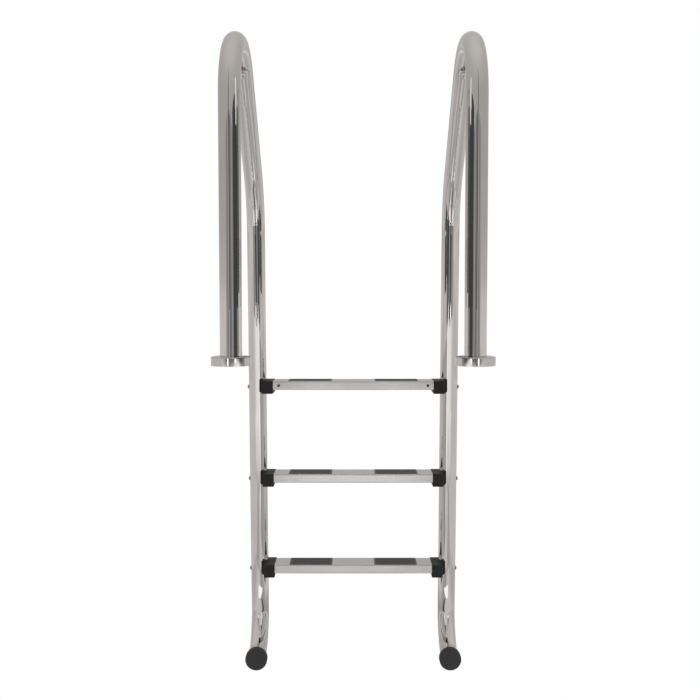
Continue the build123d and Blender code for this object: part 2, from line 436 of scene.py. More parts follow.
def surface_coordinates(tree, kind="Object", scale=(1, 1, 1)):
    """Texture coordinates of a kind, UV or Object, scaled along their three axes."""
    source = tree.nodes.new("ShaderNodeTexCoord")
    mapping = tree.nodes.new("ShaderNodeMapping")
    mapping.inputs["Scale"].default_value = scale
    tree.links.new(source.outputs[kind], mapping.inputs["Vector"])
    return mapping.outputs["Vector"]


def noise(tree, vector, scale, detail=4.0, roughness=0.55):
    """A noise pattern's value."""
    node = tree.nodes.new("ShaderNodeTexNoise")
    node.inputs["Scale"].default_value = scale
    node.inputs["Detail"].default_value = detail
    node.inputs["Roughness"].default_value = roughness
    tree.links.new(vector, node.inputs["Vector"])
    return node.outputs["Fac"]


def spread(tree, value, low, high, start=0.3, end=0.7):
    """A pattern's value brought to the range from low to high."""
    node = tree.nodes.new("ShaderNodeMapRange")
    node.inputs["From Min"].default_value = start
    node.inputs["From Max"].default_value = end
    node.inputs["To Min"].default_value = low
    node.inputs["To Max"].default_value = high
    tree.links.new(value, node.inputs["Value"])
    return node.outputs["Result"]


def tint(tree, value, dark, light):
    """A colour between dark and light, by a pattern's value."""
    node = tree.nodes.new("ShaderNodeValToRGB")
    node.color_ramp.elements[0].position = 0.3
    node.color_ramp.elements[0].color = (*dark, 1)
    node.color_ramp.elements[1].position = 0.7
    node.color_ramp.elements[1].color = (*light, 1)
    tree.links.new(value, node.inputs["Fac"])
    return node.outputs["Color"]


def bump(tree, value, distance, strength, under=None):
    """A normal raised by a pattern's value."""
    node = tree.nodes.new("ShaderNodeBump")
    node.inputs["Strength"].default_value = strength
    node.inputs["Distance"].default_value = distance
    tree.links.new(value, node.inputs["Height"])
    if under is not None:
        tree.links.new(under, node.inputs["Normal"])
    return node.outputs["Normal"]


def dress(tree, shader, roughness, colour, normal):
    """Links a shader's roughness, colour and normal."""
    for socket, source in (("Roughness", roughness), ("Base Color", colour), ("Normal", normal)):
        tree.links.new(source, shader.inputs[socket])


polished_tones = (0.59, 0.563, 0.54), (0.642, 0.615, 0.595)
satin_tones = (0.6, 0.59, 0.585), (0.66, 0.65, 0.645)


def mirror_steel():
    """Stainless tube polished to a mirror, with faint polishing lines and slow waves."""
    material, tree, shader = base_material("mirror_steel", (0.6, 0.59, 0.575), 1, 0.05)
    lines = noise(tree, surface_coordinates(tree, "UV", (60, 900, 1)), 1.0, 3)
    waves = noise(tree, surface_coordinates(tree), 26.0, 2)
    haze = noise(tree, surface_coordinates(tree), 9.0, 5, 0.6)
    relief = bump(tree, waves, 0.2 * MM, 0.06, under=bump(tree, lines, 0.01 * MM, 0.25))
    rough = spread(tree, haze, 0.028, 0.06)
    dress(tree, shader, rough, tint(tree, haze, *polished_tones), relief)
    return material


def spun_steel():
    """Polished spun sheet of the escutcheons, with fine rings from the spinning."""
    material, tree, shader = base_material("spun_steel", (0.6, 0.59, 0.575), 1, 0.09)
    rings = noise(tree, surface_coordinates(tree, "UV", (8, 2600, 1)), 1.0, 3)
    haze = noise(tree, surface_coordinates(tree), 30.0, 4)
    relief = bump(tree, rings, 0.02 * MM, 0.3)
    rough = spread(tree, haze, 0.06, 0.12)
    dress(tree, shader, rough, tint(tree, haze, *polished_tones), relief)
    return material


def brushed_steel():
    """Satin stainless sheet of the treads, brushed along its length."""
    material, tree, shader = base_material("brushed_steel", (0.63, 0.62, 0.61), 1, 0.32)
    grain = noise(tree, surface_coordinates(tree, "Object", (14, 1500, 1500)), 1.0, 4, 0.6)
    cloud = noise(tree, surface_coordinates(tree), 12.0, 3)
    relief = bump(tree, grain, 0.02 * MM, 0.35)
    rough = spread(tree, grain, 0.26, 0.4)
    dress(tree, shader, rough, tint(tree, cloud, *satin_tones), relief)
    return material


def fastener_steel(name, roughness, tone):
    """Turned stainless with light tumbling marks, tone times as bright as clean steel."""
    material, tree, shader = base_material(name, (0.5, 0.49, 0.48), 1, roughness)
    marks = noise(tree, surface_coordinates(tree), 900.0, 3)
    stain = noise(tree, surface_coordinates(tree), 80.0, 4)
    rough = spread(tree, marks, roughness - 0.06, roughness + 0.1)
    dark = tuple(tone * part for part in (0.42, 0.41, 0.4))
    light = tuple(tone * part for part in (0.56, 0.55, 0.54))
    dress(tree, shader, rough, tint(tree, stain, dark, light), bump(tree, marks, 0.03 * MM, 0.3))
    return material


def moulded_black(name, dark, light, roughness, grain_scale, grain_depth, shine=0.5):
    """Black moulded plastic or rubber, with a fine spark-eroded grain."""
    material, tree, shader = base_material(name, light, 0, roughness)
    shader.inputs["Specular IOR Level"].default_value = shine
    grain = noise(tree, surface_coordinates(tree), grain_scale, 3, 0.6)
    dust = noise(tree, surface_coordinates(tree), 45.0, 5, 0.6)
    rough = spread(tree, dust, roughness - 0.07, roughness + 0.08)
    dress(tree, shader, rough, tint(tree, dust, dark, light), bump(tree, grain, grain_depth, 0.5))
    return material


rail_material = mirror_steel()
cover_material = spun_steel()
tread_material = brushed_steel()
flange_material = fastener_steel("flange_steel", 0.34, 1)
bolt_material = fastener_steel("bolt_steel", 0.3, 0.75)
screw_material = fastener_steel("screw_steel", 0.35, 0.12)
bracket_material = moulded_black(
    "bracket_plastic",
    dark=(0.004, 0.004, 0.004),
    light=(0.008, 0.008, 0.0085),
    roughness=0.55,
    grain_scale=1400,
    grain_depth=0.04 * MM,
    shine=0.3,
)
pad_material = moulded_black(
    "pad_rubber",
    dark=(0.022, 0.022, 0.024),
    light=(0.036, 0.036, 0.039),
    roughness=0.42,
    grain_scale=2200,
    grain_depth=0.03 * MM,
    shine=0.7,
)
cap_material = moulded_black(
    "cap_rubber",
    dark=(0.011, 0.011, 0.011),
    light=(0.017, 0.017, 0.018),
    roughness=0.65,
    grain_scale=1100,
    grain_depth=0.05 * MM,
)

# ---------------------------------------------------------------- rails


def centreline():
    """The rail's centreline in the YZ plane, as (y, z, heading, distance along it)."""
    runs = [
        ("line", post_height - flange_thickness),
        ("arc", top_bend_radius, -(math.pi - slope_angle)),
        ("line", slope_length),
        ("arc", knee_radius, leg_angle - slope_angle),
        ("line", leg_length),
        ("arc", foot_bend_radius, -(math.pi / 2 + leg_angle)),
        ("line", foot_stub_length),
    ]
    line_step = 15 * MM
    arc_step = math.radians(1.5)
    y, z, heading, travel = 0.0, flange_thickness, math.pi / 2, 0.0
    stations = [(y, z, heading, travel)]
    for run in runs:
        if run[0] == "line":
            steps = max(1, round(run[1] / line_step))
            for _ in range(steps):
                y += run[1] / steps * math.cos(heading)
                z += run[1] / steps * math.sin(heading)
                travel += run[1] / steps
                stations.append((y, z, heading, travel))
            continue
        _, radius, turn = run
        side = 1 if turn > 0 else -1
        centre_y = y - side * radius * math.sin(heading)
        centre_z = z + side * radius * math.cos(heading)
        steps = math.ceil(abs(turn) / arc_step)
        for _ in range(steps):
            heading += turn / steps
            travel += radius * abs(turn) / steps
            y = centre_y + side * radius * math.sin(heading)
            z = centre_z - side * radius * math.cos(heading)
            stations.append((y, z, heading, travel))
    return stations


def tube(name, x):
    """The bent tube at x, with its wall, closed at both ends by the wall's own rings."""
    around = 112
    stations = centreline()
    verts, uvs, faces = [], [], []
    for radius in (tube_radius, tube_radius - tube_wall):
        for y, z, heading, travel in stations:
            up_y, up_z = -math.sin(heading), math.cos(heading)
            for i in range(around):
                turn = 2 * math.pi * i / around
                out, rise = radius * math.cos(turn), radius * math.sin(turn)
                verts.append((x + out, y + rise * up_y, z + rise * up_z))
                uvs.append((turn * tube_radius, travel))
    shell = len(stations) * around
    for s in range(len(stations) - 1):
        for i in range(around):
            j = (i + 1) % around
            a, b = s * around + i, s * around + j
            c, d = b + around, a + around
            faces.append((a, d, c, b))
            faces.append((shell + a, shell + b, shell + c, shell + d))
    last = (len(stations) - 1) * around
    for i in range(around):
        j = (i + 1) % around
        faces.append((i, j, shell + j, shell + i))
        faces.append((last + i, shell + last + i, shell + last + j, last + j))
    piece = new_solid(name, verts, faces, uvs)
    smooth(piece, 40)
    return piece


for side, sign in sides.items():
    rail = tube(f"rail_tube_{side}", sign * rail_x)
    finish_piece(rail, rail_material, "frame", "rail_steel", f"rail_{side}")

# ---------------------------------------------------------------- base flanges


def base_flange(name):
    """The deck plate with four holes and rounded rims."""
    rim = circle_outline(flange_radius, 96)
    plate = slab(name, rim, 0, flange_thickness, flange_rim_radius)
    hole_outline = circle_outline(flange_hole_diameter / 2, 32)
    reach = flange_hole_circle / 2
    holes = []
    for i in range(flange_hole_count):
        turn = math.radians(45 + 360 / flange_hole_count * i)
        hole = slab("hole", hole_outline, -past, flange_thickness + past)
        spot = (reach * math.cos(turn), reach * math.sin(turn), 0)
        holes.append(place(hole, Matrix.Translation(spot)))
    combine(plate, "DIFFERENCE", holes)
    soften(plate, flange_edge_round)
    shade(plate)
    return plate


def weld_bead(name):
    """The fillet weld round the tube's foot, laid down as a row of small ripples."""
    ripples, per_ripple, across = 56, 5, 8
    around = ripples * per_ripple
    across_step = 0.5 * MM
    foot = flange_thickness - weld_sink
    root = tube_radius - weld_root
    verts, faces, uvs = [], [], []
    for i in range(around):
        turn = 2 * math.pi * i / around
        leg = weld_leg * (1 - weld_ripple * abs(math.sin(math.pi * i / per_ripple)))
        for j in range(across):
            swing = math.pi / 2 * j / (across - 1)
            radius = tube_radius - weld_sink + leg * math.cos(swing)
            height = foot + leg * math.sin(swing)
            verts.append((radius * math.cos(turn), radius * math.sin(turn), height))
            uvs.append((turn * tube_radius, j * across_step))
        verts.append((root * math.cos(turn), root * math.sin(turn), foot))
        uvs.append((turn * tube_radius, 0))
    count = across + 1
    for i in range(around):
        ahead = (i + 1) % around
        for j in range(count):
            k = (j + 1) % count
            faces.append((i * count + j, ahead * count + j, ahead * count + k, i * count + k))
    piece = new_solid(name, verts, faces, uvs)
    piece.data.shade_smooth()
    return piece


for side, sign in sides.items():
    here = Matrix.Translation((sign * rail_x, 0, 0))
    plate = place(base_flange(f"flange_plate_{side}"), here)
    finish_piece(plate, flange_material, "frame", "flange_steel", f"base_flange_{side}")
    bead = place(weld_bead(f"flange_weld_{side}"), here)
    finish_piece(bead, flange_material, "frame", "flange_steel")

# ---------------------------------------------------------------- escutcheons


def cover_profile():
    """The spun cover's outline as (radius, height): up the outside and down the inside."""
    low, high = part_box("escutcheon_right")
    wall = (high.x - low.x) / 2
    bore = tube_radius + cover_bore_clearance
    top = high.z
    shoulder_top = top - cover_neck_rise
    shoulder_foot = shoulder_top - cover_shoulder_height
    slope = math.degrees(math.atan2(cover_shoulder_height, cover_shoulder_width))
    radius = cover_corner_radius
    corner = (wall - radius, shoulder_foot)
    knee = (wall - cover_shoulder_width, shoulder_top)
    outer = [(wall - cover_draft, 0.0)]
    outer += arc(corner, radius, 0, 90 - slope, 8)
    outer += [knee, (bore, top)]
    inner_knee = (knee[0] - 0.4 * cover_sheet, knee[1] - cover_sheet)
    inner = [(bore, top - cover_sheet), inner_knee]
    inner += arc(corner, radius - cover_sheet, 90 - slope, 0, 8)
    inner.append((wall - cover_draft - cover_sheet, 0.0))
    return outer + inner


for side, sign in sides.items():
    cover = lathe(f"escutcheon_shell_{side}", cover_profile(), 128, closed=True)
    soften(cover, cover_edge_round, 25)
    shade(cover, 30)
    place(cover, Matrix.Translation((sign * rail_x, 0, 0)))
    finish_piece(cover, cover_material, f"escutcheon_{side}", "cover_steel", f"escutcheon_{side}")

# ---------------------------------------------------------------- foot caps


def cap_profile(radius, length):
    """The cup's outline as (radius, height), from its face's middle round to its floor."""
    lip = cap_lip_radius
    bore = tube_radius + cap_clearance
    outline = [(0.0, 0.0)]
    outline += arc((radius - cap_edge_radius, cap_edge_radius), cap_edge_radius, -90, 0, 8)
    outline += arc((radius - lip, length - lip), lip, 0, 90, 6)
    outline += [(bore, length), (bore, cap_floor), (0.0, cap_floor)]
    return outline


for side, sign in sides.items():
    low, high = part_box(f"foot_cap_{side}")
    cap = lathe(f"foot_cap_cup_{side}", cap_profile((high.x - low.x) / 2, high.y - low.y))
    shade(cap, 40)
    place(cap, along_y((low.x + high.x) / 2, low.y, (low.z + high.z) / 2))
    finish_piece(cap, cap_material, "frame", "cap_rubber", f"foot_cap_{side}")

# ---------------------------------------------------------------- treads


def channel(name):
    """The folded channel along X, its top at z = 0, centred on y = 0."""
    bend = tread_bend_radius - tread_sheet / 2
    half_y = tread_depth / 2 - tread_sheet / 2
    high, low = -tread_sheet / 2, -tread_height + tread_sheet / 2
    lip_y = tread_depth / 2 - tread_lip
    middle_line = [((-lip_y, low), -90)]
    corners = [
        ((-half_y + bend, low + bend), -90, -180),
        ((-half_y + bend, high - bend), 180, 90),
        ((half_y - bend, high - bend), 90, 0),
        ((half_y - bend, low + bend), 0, -90),
    ]
    bend_steps = 6
    for centre, start, end in corners:
        for i, spot in enumerate(arc(centre, bend, start, end, bend_steps)):
            middle_line.append((spot, start + (end - start) * i / bend_steps))
    middle_line.append(((lip_y, low), -90))
    outer, inner = [], []
    for (y, z), turn in middle_line:
        ny, nz = math.cos(math.radians(turn)), math.sin(math.radians(turn))
        outer.append((y + ny * tread_sheet / 2, z + nz * tread_sheet / 2))
        inner.append((y - ny * tread_sheet / 2, z - nz * tread_sheet / 2))
    loop = outer + inner[::-1]
    count, stretches = len(loop), 14
    verts, faces = [], []
    for s in range(stretches + 1):
        x = -tread_half + 2 * tread_half * s / stretches
        verts += [(x, y, z) for y, z in loop]
    for s in range(stretches):
        for i in range(count):
            j = (i + 1) % count
            a, b = s * count + i, s * count + j
            faces.append((a, b, b + count, a + count))
    for start, flip in ((0, False), (stretches * count, True)):
        for i in range(len(outer) - 1):
            quad = (start + i, start + count - 1 - i, start + count - 2 - i, start + i + 1)
            faces.append(quad[::-1] if flip else quad)
    return new_solid(name, verts, faces)


def tread(level):
    """One tread: the channel with its pressed pad pockets, peg holes and screw holes."""
    piece = channel(f"tread_sheet_{level}")
    pan_outline = box_outline(*(size + 2 * tread_sheet for size in pocket_size), 2 * tread_sheet)
    pocket_outline = box_outline(*pocket_size, pocket_corner_radius)
    peg_outline = circle_outline(peg_diameter / 2 + peg_clearance, 24)
    screw_outline = circle_outline(screw_hole_diameter / 2, 24)
    peg_hole_depth, screw_hole_reach = 5 * MM, 3 * MM
    pans, cuts = [], []
    for sign in sides.values():
        shift = Matrix.Translation((sign * pad_offset, 0, 0))
        pan = slab("pan", pan_outline, -tread_sheet - pad_pocket_depth, -tread_sheet / 2)
        pans.append(place(pan, shift))
        pocket = slab("pocket", pocket_outline, -pad_pocket_depth, past)
        cuts.append(place(pocket, shift))
        for end in (-1, 1):
            hole = slab("peg_hole", peg_outline, -peg_hole_depth, past)
            cuts.append(place(hole, shift @ Matrix.Translation((end * peg_spacing / 2, 0, 0))))
        screw_hole = slab("screw_hole", screw_outline, -screw_hole_reach, screw_hole_reach)
        skirt = screw_face[level] * tread_depth / 2
        cuts.append(place(screw_hole, along_y(sign * screw_offset, skirt, -screw_drop)))
    combine(piece, "UNION", pans)
    combine(piece, "DIFFERENCE", cuts)
    soften(piece, tread_edge_round, 40)
    shade(piece)
    place(piece, Matrix.Translation((0, tread_y[level], tread_top[level])))
    return piece


for level in levels:
    finish_piece(tread(level), tread_material, "frame", "tread_steel", f"tread_{level}")

# ---------------------------------------------------------------- grip pads


def grip_pad(name):
    """A rubber mat with a plain rim, a field of diamond studs and two pegs below."""
    length = pocket_size[0] - 2 * pad_side_clearance
    depth = pocket_size[1] - 2 * pad_side_clearance
    outline = box_outline(length, depth, pocket_corner_radius, 5)
    chamfer = 0.4 * pad_edge_radius
    rings = [(chamfer, -pad_pocket_depth), (0, -pad_pocket_depth + chamfer)]
    falling = [math.pi / 2 * (1 - i / 3) for i in range(4)]
    rings += rim_rings(pad_proud, pad_edge_radius, -1, falling)
    verts, faces = stack(outline, rings)
    rim_loop = list(range(len(verts) - len(outline), len(verts)))
    half = stud_pitch / 2
    columns = int((length / 2 - pad_rim) / half) * 2
    rows = int((depth / 2 - pad_rim) / half) * 2
    grid = {}
    for a in range(columns + 1):
        for b in range(rows + 1):
            x, y = (a - columns / 2) * half, (b - rows / 2) * half
            border = a in (0, columns) or b in (0, rows)
            peak = (a + b) % 2 == 0
            grid[a, b] = len(verts)
            verts.append((x, y, pad_proud if border or peak else pad_field_floor))
    for a in range(columns):
        for b in range(rows):
            p, q = grid[a, b], grid[a + 1, b]
            r, s = grid[a + 1, b + 1], grid[a, b + 1]
            if (a + b) % 2 == 0:
                faces += [(p, q, s), (q, r, s)]
            else:
                faces += [(p, q, r), (p, r, s)]
    border_loop = [grid[a, 0] for a in range(columns)]
    border_loop += [grid[columns, b] for b in range(rows)]
    border_loop += [grid[a, rows] for a in range(columns, 0, -1)]
    border_loop += [grid[0, b] for b in range(rows, 0, -1)]
    piece = new_object(name, verts, faces)
    work = bmesh.new()
    work.from_mesh(piece.data)
    work.verts.ensure_lookup_table()
    loops = []
    for ring in (rim_loop, border_loop):
        edges = []
        for i, start in enumerate(ring):
            pair = (work.verts[start], work.verts[ring[(i + 1) % len(ring)]])
            edges.append(work.edges.get(pair) or work.edges.new(pair))
        loops += edges
    bmesh.ops.triangle_fill(work, use_beauty=True, edges=loops, normal=(0, 0, 1))
    bmesh.ops.recalc_face_normals(work, faces=work.faces)
    work.to_mesh(piece.data)
    work.free()
    peg_outline = circle_outline(peg_diameter / 2, 28)
    peg_low, peg_high = -pad_pocket_depth - peg_length, -pad_pocket_depth + peg_root
    pegs = []
    for end in (-1, 1):
        peg = slab("peg", peg_outline, peg_low, peg_high, peg_tip_radius)
        pegs.append(place(peg, Matrix.Translation((end * peg_spacing / 2, 0, 0))))
    combine(piece, "UNION", pegs)
    smooth(piece, 14)
    return piece


for level in levels:
    for side, sign in sides.items():
        pad = grip_pad(f"grip_mat_{level}_{side}")
        place(pad, Matrix.Translation((sign * pad_offset, tread_y[level], tread_top[level])))
        finish_piece(pad, pad_material, "frame", "grip_rubber", f"grip_pad_{level}_{side}")

# ---------------------------------------------------------------- end brackets


def end_bracket(level):
    """The right-hand bracket of a tread, in place in the frame."""
    d = bracket_depth / 2
    inner, lead, outer = tread_half, tread_half + bracket_lead_in, tread_half + bracket_width
    end = d - bracket_lead_in_depth
    corners = [
        (inner, -end, bracket_corner_radius),
        (lead, -d, bracket_corner_radius),
        (outer, -d, bracket_outer_radius),
        (outer, d, bracket_outer_radius),
        (lead, d, bracket_corner_radius),
        (inner, end, bracket_corner_radius),
    ]
    low, high = bracket_rise - bracket_height, bracket_rise
    block = slab("bracket", rounded_outline(corners, 8), low, high, bracket_edge_radius, 5)
    tongue_top = -tread_sheet - tongue_clearance
    tongue_low = -tread_height + tread_sheet + tongue_clearance
    tongue_depth = tread_depth - 2 * tread_sheet - 2 * tongue_clearance
    shape = box_outline(tongue_top - tongue_low, tongue_depth, tread_bend_radius - tread_sheet)
    tongue = slab("tongue", shape, -tongue_length, tongue_root, tongue_edge_radius)
    place(tongue, along_x(tread_half, 0, (tongue_top + tongue_low) / 2))
    combine(block, "UNION", [tongue])
    saddle_reach, bore_reach, nut_pocket_reach, screw_reach = 80 * MM, 60 * MM, 35 * MM, 14 * MM
    saddle_outline = circle_outline(tube_radius + saddle_clearance, 96)
    saddle = slab("saddle", saddle_outline, -saddle_reach, saddle_reach)
    place(saddle, Matrix.Translation((rail_x, 0, 0)) @ Matrix.Rotation(leg_angle, 4, "X"))
    bolt_y = bolt_drop * math.tan(leg_angle)
    bore = slab("bore", circle_outline(bolt_hole_radius, 32), -bore_reach, bore_reach)
    place(bore, along_x(rail_x, bolt_y, -bolt_drop))
    pocket = slab("nut", hexagon(nut_size + 2 * nut_pocket_clearance), -nut_pocket_reach, 0)
    place(pocket, along_x(tread_half + nut_pocket_depth, bolt_y, -bolt_drop))
    screw = slab("screw", circle_outline(screw_hole_diameter / 2, 24), -screw_reach, screw_reach)
    place(screw, along_y(screw_offset, screw_face[level] * tread_depth / 2, -screw_drop))
    combine(block, "DIFFERENCE", [saddle, bore, pocket, screw])
    soften(block, bracket_cut_round, 40)
    shade(block, 34)
    place(block, Matrix.Translation((0, tread_y[level], tread_top[level])))
    return block


mirror_x = Matrix.Scale(-1, 4, (1, 0, 0))
for level in levels:
    master = end_bracket(level)
    for side, sign in sides.items():
        block = master
        if sign < 0:
            block = bpy.data.objects.new("bracket_copy", master.data.copy())
            bpy.context.scene.collection.objects.link(block)
            place(block, mirror_x)
            block.data.validate()
            keep_flat(block)
        block.name = f"bracket_block_{level}_{side}"
        node = f"end_bracket_{level}_{side}"
        finish_piece(block, bracket_material, "frame", "bracket_plastic", node)

# ---------------------------------------------------------------- tread bolts


def dome_bolt(name):
    """A dome-head bolt with a hexagon socket, its head's seat at z = 0 and shank below."""
    head_radius = bolt_head_diameter / 2
    dome = (head_radius**2 + bolt_head_height**2) / (2 * bolt_head_height)
    centre = bolt_head_height - dome
    first = math.degrees(math.asin((bolt_head_rim - centre) / dome))
    seat = dome * math.cos(math.radians(first)) - bolt_seat_inset
    shank = bolt_diameter / 2
    profile = [(0.0, -bolt_length), (shank - bolt_tip_chamfer, -bolt_length)]
    profile += [(shank, -bolt_length + bolt_tip_chamfer), (shank, 0.0), (seat, 0.0)]
    profile += arc((0, centre), dome, first, 90, 10)
    piece = lathe(name, profile, 48)
    socket_floor = bolt_head_height - bolt_socket_depth
    socket = slab("socket", hexagon(bolt_socket_size), socket_floor, bolt_head_height + past)
    combine(piece, "DIFFERENCE", [socket])
    soften(piece, bolt_edge_round, 40)
    shade(piece, 30)
    return piece


for level in levels:
    for side, sign in sides.items():
        bolt = dome_bolt(f"dome_bolt_{level}_{side}")
        bolt_z = tread_top[level] - bolt_drop
        place(bolt, along_x(sign * (rail_x + tube_radius), leg_y(bolt_z), bolt_z, sign))
        finish_piece(bolt, bolt_material, "frame", "fastener_steel", f"tread_bolt_{level}_{side}")

# ---------------------------------------------------------------- nuts and screws
for node, material in (("bracket_nuts", bolt_material), ("tread_screws", screw_material)):
    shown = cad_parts[node]
    shown.data.materials.clear()
    shown.data.materials.append(material)

# ---------------------------------------------------------------- stage and light
# The studio is white to the camera. Mirror steel shows whatever stands round it, so a set of
# cards that only reflections see gives the tubes their streaks, the same on both sides. Their
# places and strengths were set one by one, by the tones that the tubes show from the front.


def follow(tree, coordinates, axis, stops, mirrored=True):
    """A strength that follows stops of (place, strength) along one axis of the coordinates."""
    split = tree.nodes.new("ShaderNodeSeparateXYZ")
    tree.links.new(coordinates, split.inputs["Vector"])
    place_along = split.outputs[axis]
    if mirrored:
        size = tree.nodes.new("ShaderNodeMath")
        size.operation = "ABSOLUTE"
        tree.links.new(place_along, size.inputs[0])
        place_along = size.outputs["Value"]
    first, last = stops[0][0], stops[-1][0]
    tallest = max(level for _, level in stops)
    scale = tree.nodes.new("ShaderNodeMapRange")
    scale.inputs["From Min"].default_value = first
    scale.inputs["From Max"].default_value = last
    tree.links.new(place_along, scale.inputs["Value"])
    curve = tree.nodes.new("ShaderNodeFloatCurve")
    points = curve.mapping.curves[0].points
    while len(points) < len(stops):
        points.new(0.5, 0.5)
    for point, (spot, level) in zip(points, stops):
        point.location = ((spot - first) / (last - first), level / tallest)
        point.handle_type = "VECTOR"
    curve.mapping.update()
    tree.links.new(scale.outputs["Result"], curve.inputs["Value"])
    lift = tree.nodes.new("ShaderNodeMath")
    lift.operation = "MULTIPLY"
    lift.inputs[1].default_value = tallest
    tree.links.new(curve.outputs["Value"], lift.inputs[0])
    return lift.outputs["Value"]


def glow(name, axis=None, stops=(), strength=1.0, colour=(1, 1, 1)):
    """A studio card's light. With an axis, its strength follows the stops along it."""
    material = bpy.data.materials.new(name)
    material.use_nodes = True
    tree = material.node_tree
    tree.nodes.clear()
    lamp = tree.nodes.new("ShaderNodeEmission")
    lamp.inputs["Color"].default_value = (*colour, 1)
    lamp.inputs["Strength"].default_value = strength
    out = tree.nodes.new("ShaderNodeOutputMaterial")
    tree.links.new(lamp.outputs["Emission"], out.inputs["Surface"])
    if axis is not None:
        source = tree.nodes.new("ShaderNodeTexCoord")
        tree.links.new(follow(tree, source.outputs["Object"], axis, stops), lamp.inputs["Strength"])
    return material


def card(name, corners, material, faces=((0, 1, 2, 3),)):
    """A flat studio card, or a set of them, that only reflections see."""
    piece = new_object(name, corners, list(faces))
    piece.data.materials.append(material)
    piece.visible_camera = False
    piece.visible_diffuse = False
    piece.visible_shadow = False
    return piece


def upright(name, start, end, low, high, material):
    """A vertical card above the line from start to end, each (x, y)."""
    card(name, [(*start, low), (*end, low), (*end, high), (*start, high)], material)


def facing(name, x_reach, y, low, high, material):
    """A vertical card across the view, at one y."""
    upright(name, (-x_reach, y), (x_reach, y), low, high, material)


def level_card(name, x_reach, near, far, z, material):
    """A horizontal card from y = near to y = far."""
    corners = [(-x_reach, near, z), (x_reach, near, z), (x_reach, far, z), (-x_reach, far, z)]
    return card(name, corners, material)


floor_z = cad_box[0].z - 0.5 * MM
floor_reach = 12.0
floor = level_card("floor", floor_reach, -floor_reach, floor_reach, floor_z, glow("floor_white"))
floor.visible_camera = True
floor.visible_diffuse = True
floor.visible_glossy = False
floor_stops = (
    (0.0, 0.5), (0.03, 0.4), (0.075, 0.47), (0.12, 0.52), (0.175, 0.68), (0.27, 0.86),
    (0.335, 0.74), (0.39, 0.86), (0.45, 0.8), (0.6, 0.62), (1.75, 0.56), (2.1, 0.7),
    (floor_reach, 0.72),
)
floor_tones = glow("floor_tones", "X", floor_stops)
level_card("floor_mirrored", floor_reach, -floor_reach, floor_reach, floor_z, floor_tones)

# The floor on the deck side has tones of its own, from just before the posts to the sweep.
near_reach, near_start, near_end = 2.1, -0.02, -0.78
near_stops = (
    (0.0, 0.8), (0.15, 0.8), (0.2, 0.56), (0.3, 0.58), (0.37, 0.5), (0.55, 0.52), (0.68, 0.8),
    (0.8, 0.87), (1.15, 0.87), (1.25, 0.55), (1.5, 0.55), (1.62, 0.84), (near_reach, 0.8),
)
near_tones = glow("near_floor", "X", near_stops)
level_card("near_floor", near_reach, near_end, near_start, floor_z + 0.5 * MM, near_tones)

# Flags in each rail's own plane are edge-on to that rail and dark to the other one. Below deck
# level, cards in the same planes give the opposite leg a white line, a dark one and a grey side.
black = glow("black_flag", strength=0.08, colour=(0.85, 0.95, 1.0))
graded = glow("graded_flag", "Y", ((0.0, 0.5), (0.03, 0.42), (0.12, 0.25), (0.22, 0.08)))
glint = glow("glint_strip", strength=1.3)
glint_inset = 2 * MM
leg_low, leg_high = floor_z + 2 * MM, -0.06
plane_cards = (
    # label, from y to y, from z to z, inset towards the middle, material
    ("black_flag", -0.62, -0.22, -0.05, 0.62, 0, black),
    ("black_flag_near", -0.22, -0.025, 0.105, 0.57, 0, black),
    ("black_flag_beyond", 0.025, 0.125, 0.14, 0.57, 0, black),
    ("graded_flag", -0.22, -0.025, -0.05, 0.105, 0, graded),
    ("glint_strip", -0.16, -0.09, 0.53, 0.78, glint_inset, glint),
    ("leg_white", -0.6, -0.3, leg_low, leg_high, 0, glow("leg_white", strength=1.4)),
    ("leg_dark", -0.13, -0.02, leg_low, leg_high, 0, glow("leg_dark", strength=0.2)),
    ("leg_grey", -0.02, 0.4, leg_low, leg_high, 0, glow("leg_grey", strength=0.52)),
)
for side, sign in sides.items():
    for label, near, far, low, high, inset, material in plane_cards:
        x = sign * (rail_x - inset)
        upright(f"{label}_{side}", (x, near), (x, far), low, high, material)

# Low cards in front of the feet, a white one, a dark one and a small grey one, give the foot
# bends their glint, and a grey one beyond each foot shades its outer side.
foot_card_z = -0.693
foot_white = glow("foot_white", strength=1.55)
foot_dark = glow("foot_dark", strength=0.06)
foot_lens = glow("foot_lens", strength=0.8)
foot_side = glow("foot_side", strength=0.75)
white_outline = (0.042, 0.275), (0.2, 0.204), (0.306, 0.214), (0.284, 0.291), (0.189, 0.288)
dark_outline = (
    (0.169, 0.293), (0.136, 0.351), (0.136, 0.398),
    (0.113, 0.433), (0.095, 0.392), (0.098, 0.332),
)
foot_cards = ("white", white_outline, foot_white), ("dark", dark_outline, foot_dark)
lens_y, side_x = 0.43, 0.5
for side, sign in sides.items():
    for label, outline, material in foot_cards:
        corners = [(sign * x, y, foot_card_z) for x, y in outline]
        card(f"foot_{label}_{side}", corners, material, (tuple(range(len(corners))),))
    lens_ends = (sign * 0.2, lens_y), (sign * 0.24, lens_y)
    upright(f"foot_lens_{side}", *lens_ends, -0.665, -0.632, foot_lens)
    side_ends = (sign * side_x, 0), (sign * side_x, 0.75)
    upright(f"foot_side_{side}", *side_ends, -0.62, -0.1, foot_side)

